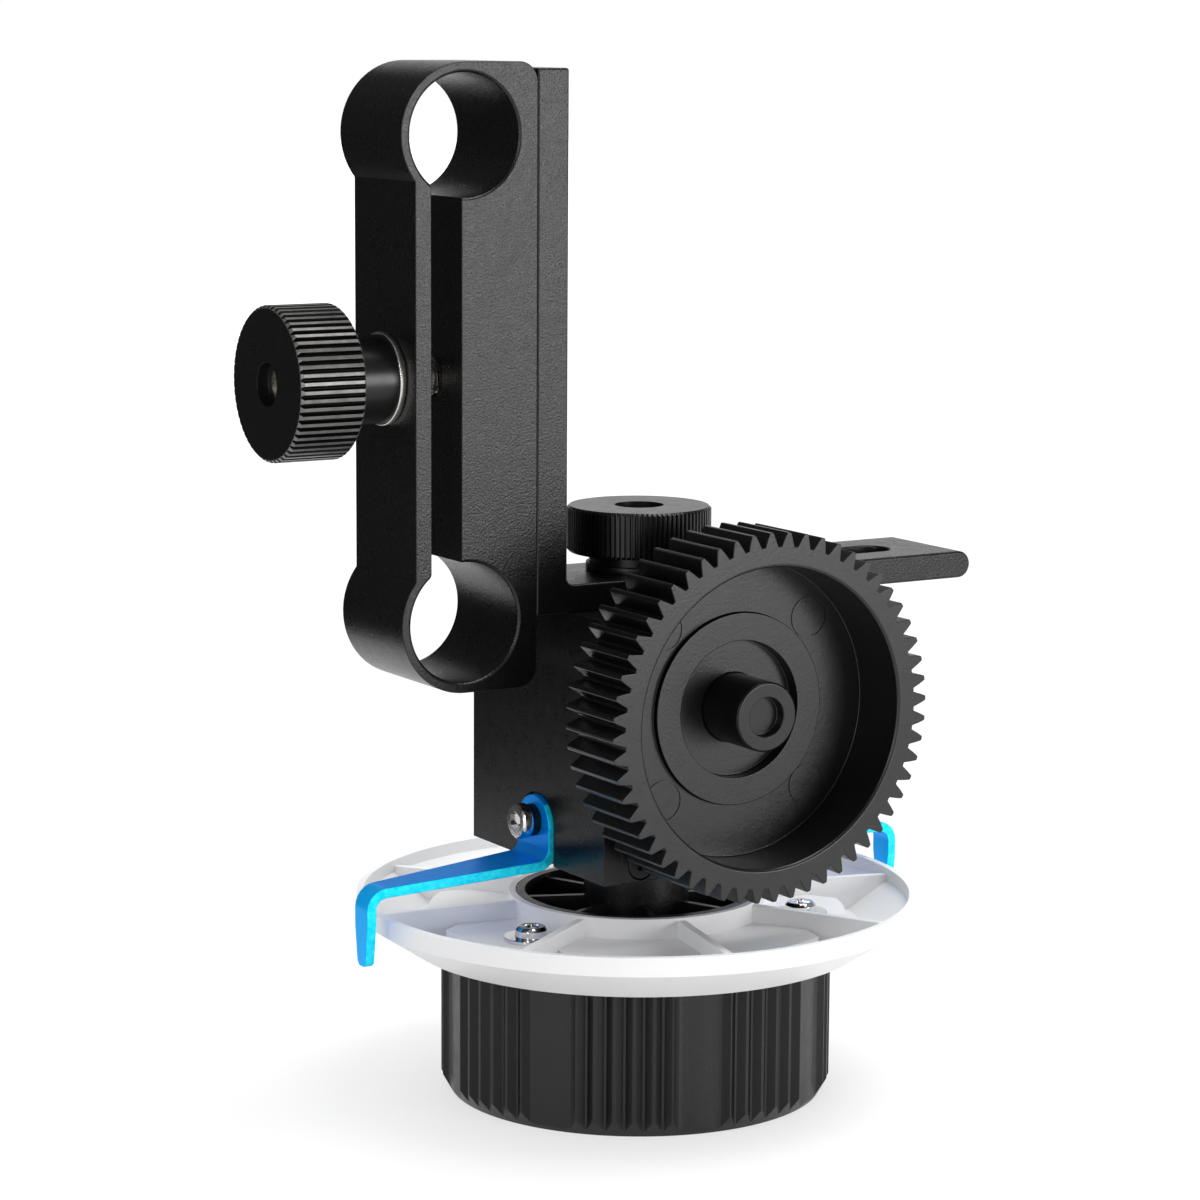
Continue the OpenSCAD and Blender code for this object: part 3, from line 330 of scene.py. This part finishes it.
def paint_clamp_knob(shape):
    low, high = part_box("clamp_knob")
    centre = (low + high) / 2
    paint_flutes(shape, centre, Vector((1, 0, 0)), high.z - centre.z, KNOB_DEPTH, gap=2, ridge=1)


# Blue pointers, whose cut edges and leg get lighter blues as painted light: how much of a cut edge's
# normal lies along Y, at least, and how far in the leg goes
CUT_LEAN = 0.6
POINTER_LEG = 2.3 * MM


def paint_pointer(shape):
    reach = max(abs(v.co.x) for v in shape.verts)
    for face in shape.faces:
        # Cut edges get the painted highlight, the leg the painted light
        if abs(face.normal.y) > CUT_LEAN:
            face.material_index = 1
        elif abs(face.calc_center_median().x) > reach - POINTER_LEG:
            face.material_index = 2


# Nodes with more finishes than their own, which are painted highlights, painted light and painted
# shade: what paints their faces, and those finishes
PAINTED = {
    "handwheel": (paint_handwheel, [SHADED_GRIP_GROOVE]),
    "clamp_knob": (paint_clamp_knob, [RIDGE_HIGHLIGHT, SHADED_FLUTE_GAP]),
    "left_pointer": (paint_pointer, [BLUE_CUT_HIGHLIGHT, LIT_BLUE_LEG]),
    "right_pointer": (paint_pointer, [BLUE_CUT_HIGHLIGHT, LIT_BLUE_LEG]),
}


def dress(node):
    """Shows the node with rounded edges and its finishes."""
    shape = merged_copy(node)
    width, segments = EDGES[node]
    round_edges(shape, shape.edges, CREASE, width * MM, segments)
    for face in shape.faces:
        face.material_index = 0
    finishes = [BOX_BLACK if node in SMOOTH_BLACK else FINISH[SLOT_OF[node]]]
    if node in PAINTED:
        paint, further = PAINTED[node]
        shape.normal_update()
        paint(shape)
        finishes += further
    add_piece(shape, node + "_finished", BODY_OF[node], finishes, (node,))


def seen_directly(tree):
    """1 where the camera, a mirror-like surface or glass sees this, else 0."""
    path = tree.nodes.new("ShaderNodeLightPath")
    seen = path.outputs["Is Camera Ray"]
    for kind in ("Is Glossy Ray", "Is Transmission Ray"):
        seen = combine(tree, "MAXIMUM", seen, path.outputs[kind])
    return seen


# Floor: its tone as it lights the object and as it is seen, and its glow from near to far
FLOOR_RADIUS = 4
FLOOR_STEPS = 96
FLOOR_TONE = 0.66
FLOOR_TONE_SEEN = 0.31
FLOOR_ROUGHNESS = 0.8
FLOOR_SPECULAR = 0.1
FLOOR_GLOW_NEAR = 0.62
FLOOR_GLOW_FAR = 0.95
FLOOR_NEAR = 0.25
FLOOR_FAR = 1.3


def make_floor():
    shape = bmesh.new()
    bmesh.ops.create_circle(shape, cap_ends=True, segments=FLOOR_STEPS, radius=FLOOR_RADIUS)
    material, tree, shader = new_material("pale_floor")
    seen = seen_directly(tree)
    tree.links.new(blend_colours(tree, seen, (FLOOR_TONE,) * 3, (FLOOR_TONE_SEEN,) * 3),
                   shader.inputs["Base Color"])
    shader.inputs["Roughness"].default_value = FLOOR_ROUGHNESS
    shader.inputs["Specular IOR Level"].default_value = FLOOR_SPECULAR
    away = tree.nodes.new("ShaderNodeVectorMath")
    away.operation = "LENGTH"
    tree.links.new(tree.nodes.new("ShaderNodeTexCoord").outputs["Object"], away.inputs[0])
    glow = spread(tree, away.outputs["Value"], FLOOR_GLOW_NEAR, FLOOR_GLOW_FAR, FLOOR_NEAR, FLOOR_FAR)
    shader.inputs["Emission Color"].default_value = WHITE
    tree.links.new(combine(tree, "MULTIPLY", seen, glow), shader.inputs["Emission Strength"])
    floor = put_in_scene(shape, "floor", [material])


# World: white up to the top of the sweep, the room's darker tone from some way above it
SWEEP_TONE = 1
ROOM_TONE = 0.25
SWEEP_TOP = 0.15
ROOM_FROM = 0.42
# The fill that matt surfaces get instead, least and most, and the side that the most comes from
WORLD_FILL = (0.22, 1.45)
FILL_SIDE = (0.62, 0.55, 0.56)
FILL_REACH = 0.7


def make_world():
    world = bpy.data.worlds.new("studio")
    bpy.context.scene.world = world
    world.use_nodes = True
    tree = world.node_tree
    back = tree.nodes["Background"]
    back.inputs["Color"].default_value = WHITE
    direction = tree.nodes.new("ShaderNodeTexCoord").outputs["Generated"]
    parts = tree.nodes.new("ShaderNodeSeparateXYZ")
    tree.links.new(direction, parts.inputs[0])
    sweep = spread(tree, parts.outputs["Z"], SWEEP_TONE, ROOM_TONE, SWEEP_TOP, ROOM_FROM)
    toward = tree.nodes.new("ShaderNodeVectorMath")
    toward.operation = "DOT_PRODUCT"
    toward.inputs[1].default_value = FILL_SIDE
    tree.links.new(direction, toward.inputs[0])
    fill = spread(tree, toward.outputs["Value"], *WORLD_FILL, -FILL_REACH, FILL_REACH)
    strength = tree.nodes.new("ShaderNodeMapRange")
    tree.links.new(seen_directly(tree), strength.inputs["Value"])
    tree.links.new(fill, strength.inputs["To Min"])
    tree.links.new(sweep, strength.inputs["To Max"])
    tree.links.new(strength.outputs["Result"], back.inputs["Strength"])


# Each softbox's place, width, height and power
SOFTBOXES = {
    "front_softbox": ((0.41, -0.87, 0.13), 0.34, 0.36, 3.75),
    "top_softbox": ((0.22, -0.12, 0.95), 0.45, 0.45, 4.2),
    "left_softbox": ((-0.80, -0.46, 0.35), 0.12, 0.5, 1.5),
}
LAMP_AIM = Vector((-0.005, 0, 0.065))


def make_softboxes():
    for name, (place, width, height, power) in SOFTBOXES.items():
        data = bpy.data.lights.new(name, "AREA")
        data.shape = "RECTANGLE"
        data.size = width
        data.size_y = height
        data.energy = power
        lamp = bpy.data.objects.new(name, data)
        lamp.location = place
        lamp.rotation_euler = (LAMP_AIM - Vector(place)).to_track_quat("-Z", "Y").to_euler()
        bpy.context.scene.collection.objects.link(lamp)


# Dark upright card that mirror-like faces on the left see, as a photographer's flag
FLAG_HALF = 0.2
FLAG_PLACE = (-0.10, 0.13, 0.2)
FLAG_TURN = radians(43)
FLAG_TONE = 0.04


def make_flag():
    shape = bmesh.new()
    bmesh.ops.create_grid(shape, x_segments=1, y_segments=1, size=FLAG_HALF)
    upright = Matrix.Rotation(FLAG_TURN, 4, "Z") @ Matrix.Rotation(radians(90), 4, "X")
    bmesh.ops.transform(shape, matrix=Matrix.Translation(FLAG_PLACE) @ upright, verts=shape.verts)
    material, tree, shader = new_material("flag_black")
    shader.inputs["Base Color"].default_value = (FLAG_TONE, FLAG_TONE, FLAG_TONE, 1)
    shader.inputs["Roughness"].default_value = 1
    shader.inputs["Specular IOR Level"].default_value = 0
    flag = put_in_scene(shape, "flag", [material])
    flag.visible_camera = False
    flag.visible_diffuse = False
    flag.visible_shadow = False


def profile_loop(shape, start, along, across, corners):
    """Loop about the start, from corners given as distances across and along."""
    verts = [shape.verts.new(start + across * r + along * h) for r, h in corners]
    following = verts[1:] + verts[:1]
    return verts + [shape.edges.new(pair) for pair in zip(verts, following)]


# Drive gear: faint rings that the mould's pins leave on the web, as far sunk as they stand out
GEAR_WEB = 2.8 * MM
PIN_MARKS = 4
PIN_MARK_TURN = radians(45)
PIN_MARK_PLACE = 15.2 * MM
PIN_MARK_R = 2.5 * MM
PIN_MARK_WIDTH = 0.14 * MM
PIN_MARK_HEIGHT = 0.12 * MM
PIN_MARK_STEPS = 48


def gear_pin_marks():
    low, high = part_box("drive_gear")
    axis_z = (low.z + high.z) / 2
    web_y = high.y - GEAR_WEB
    outer = PIN_MARK_R + PIN_MARK_WIDTH
    corners = [(PIN_MARK_R, -PIN_MARK_HEIGHT), (PIN_MARK_R, PIN_MARK_HEIGHT),
               (outer, PIN_MARK_HEIGHT), (outer, -PIN_MARK_HEIGHT)]
    along = Vector((0, -1, 0))
    across = along.orthogonal().normalized()
    shape = bmesh.new()
    for k in range(PIN_MARKS):
        turn = PIN_MARK_TURN + 2 * pi * k / PIN_MARKS
        middle = Vector((PIN_MARK_PLACE * cos(turn), web_y, axis_z + PIN_MARK_PLACE * sin(turn)))
        loop = profile_loop(shape, middle, along, across, corners)
        bmesh.ops.spin(shape, geom=loop, cent=middle, axis=along, angle=2 * pi,
                       steps=PIN_MARK_STEPS, use_merge=True)
    bmesh.ops.recalc_face_normals(shape, faces=shape.faces)
    add_piece(shape, "gear_pin_marks", "output", [FINISH["gear_plastic"]])


# Clamp stud: two plain ends and between them the thread that shows in the slit
STUD_STEPS = 64
STUD_PLAIN_END = 14.8 * MM
STUD_RIM = 0.35 * MM
STUD_RIM_SEGMENTS = 3
STUD_RIM_TURN = radians(60)
CUP_WALL = 0.35 * MM
CUP_DEPTH = 1.1 * MM
THREAD_LENGTH = 8 * MM
THREAD_PITCH = 0.8 * MM
THREAD_STEPS = 40
THREAD_ROOT = 2 * MM
THREAD_ROOT_RIM = 0.1 * MM
# How far the root goes into the plain ends, and the ridge into the root
ROOT_OVERLAP = 0.5 * MM
RIDGE_OVERLAP = 0.1 * MM
# Half the ridge's width at its foot and at its crest, in pitches
FOOT_SHARE = 0.42
CREST_SHARE = 0.08


def stud_length(shape, x0, x1, z, radius, rim):
    """A plain length of the stud between two places on X, with rounded rims."""
    turned = Matrix.Translation(((x0 + x1) / 2, 0, z)) @ Matrix.Rotation(radians(90), 4, "Y")
    made = bmesh.ops.create_cone(shape, cap_ends=True, segments=STUD_STEPS, radius1=radius,
                                 radius2=radius, depth=x1 - x0, matrix=turned)
    edges = {e for v in made["verts"] for e in v.link_edges}
    round_edges(shape, edges, STUD_RIM_TURN, rim, STUD_RIM_SEGMENTS)


def stud_cup(shape):
    """Cup in the end that shows in the knob's face, made before the other lengths are there."""
    shape.normal_update()
    end = [min(shape.faces, key=lambda face: face.calc_center_median().x)]
    bmesh.ops.inset_region(shape, faces=end, thickness=CUP_WALL, use_even_offset=True)
    made = bmesh.ops.extrude_face_region(shape, geom=end)
    moved = [v for v in made["geom"] if isinstance(v, bmesh.types.BMVert)]
    bmesh.ops.translate(shape, vec=(CUP_DEPTH, 0, 0), verts=moved)
    bmesh.ops.delete(shape, geom=end, context="FACES")


def thread_ridge(shape, start, radius):
    turns = THREAD_LENGTH / THREAD_PITCH
    steps = round(turns * THREAD_STEPS)
    foot = THREAD_PITCH * FOOT_SHARE
    crest = THREAD_PITCH * CREST_SHARE
    inner = THREAD_ROOT - RIDGE_OVERLAP
    along = Vector((1, 0, 0))
    loop = profile_loop(shape, start, along, Vector((0, 0, 1)),
                        [(inner, -foot), (radius, -crest), (radius, crest), (inner, foot)])
    bmesh.ops.spin(shape, geom=loop, cent=start, axis=along, angle=turns * 2 * pi,
                   dvec=along * (THREAD_LENGTH / steps), steps=steps, use_merge=False)
    ends = [e for e in shape.edges if len(e.link_faces) == 1]
    bmesh.ops.holes_fill(shape, edges=ends, sides=4)
    bmesh.ops.recalc_face_normals(shape, faces=shape.faces)


def clamp_stud():
    low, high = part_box("clamp_stud")
    radius = (high.z - low.z) / 2
    z = (low.z + high.z) / 2
    thread_from = low.x + STUD_PLAIN_END
    thread_to = thread_from + THREAD_LENGTH
    shape = bmesh.new()
    stud_length(shape, low.x, thread_from, z, radius, STUD_RIM)
    stud_cup(shape)
    stud_length(shape, thread_to, high.x, z, radius, STUD_RIM)
    stud_length(shape, thread_from - ROOT_OVERLAP, thread_to + ROOT_OVERLAP, z, THREAD_ROOT,
                THREAD_ROOT_RIM)
    thread_ridge(shape, Vector((thread_from, 0, z)), radius)
    add_piece(shape, "clamp_stud_threaded", BODY_OF["clamp_stud"],
              [FINISH["silver_steel"]], ("clamp_stud",))


def finish_as_built(node):
    NODES[node].material_slots[0].material = FINISH[SLOT_OF[node]]


make_camera()
make_floor()
make_world()
make_softboxes()
make_flag()
for node in EDGES:
    dress(node)
for node in NODES:
    if node not in EDGES and node != "clamp_stud":
        finish_as_built(node)
gear_pin_marks()
clamp_stud()

bpy.context.scene.view_settings.view_transform = "Standard"
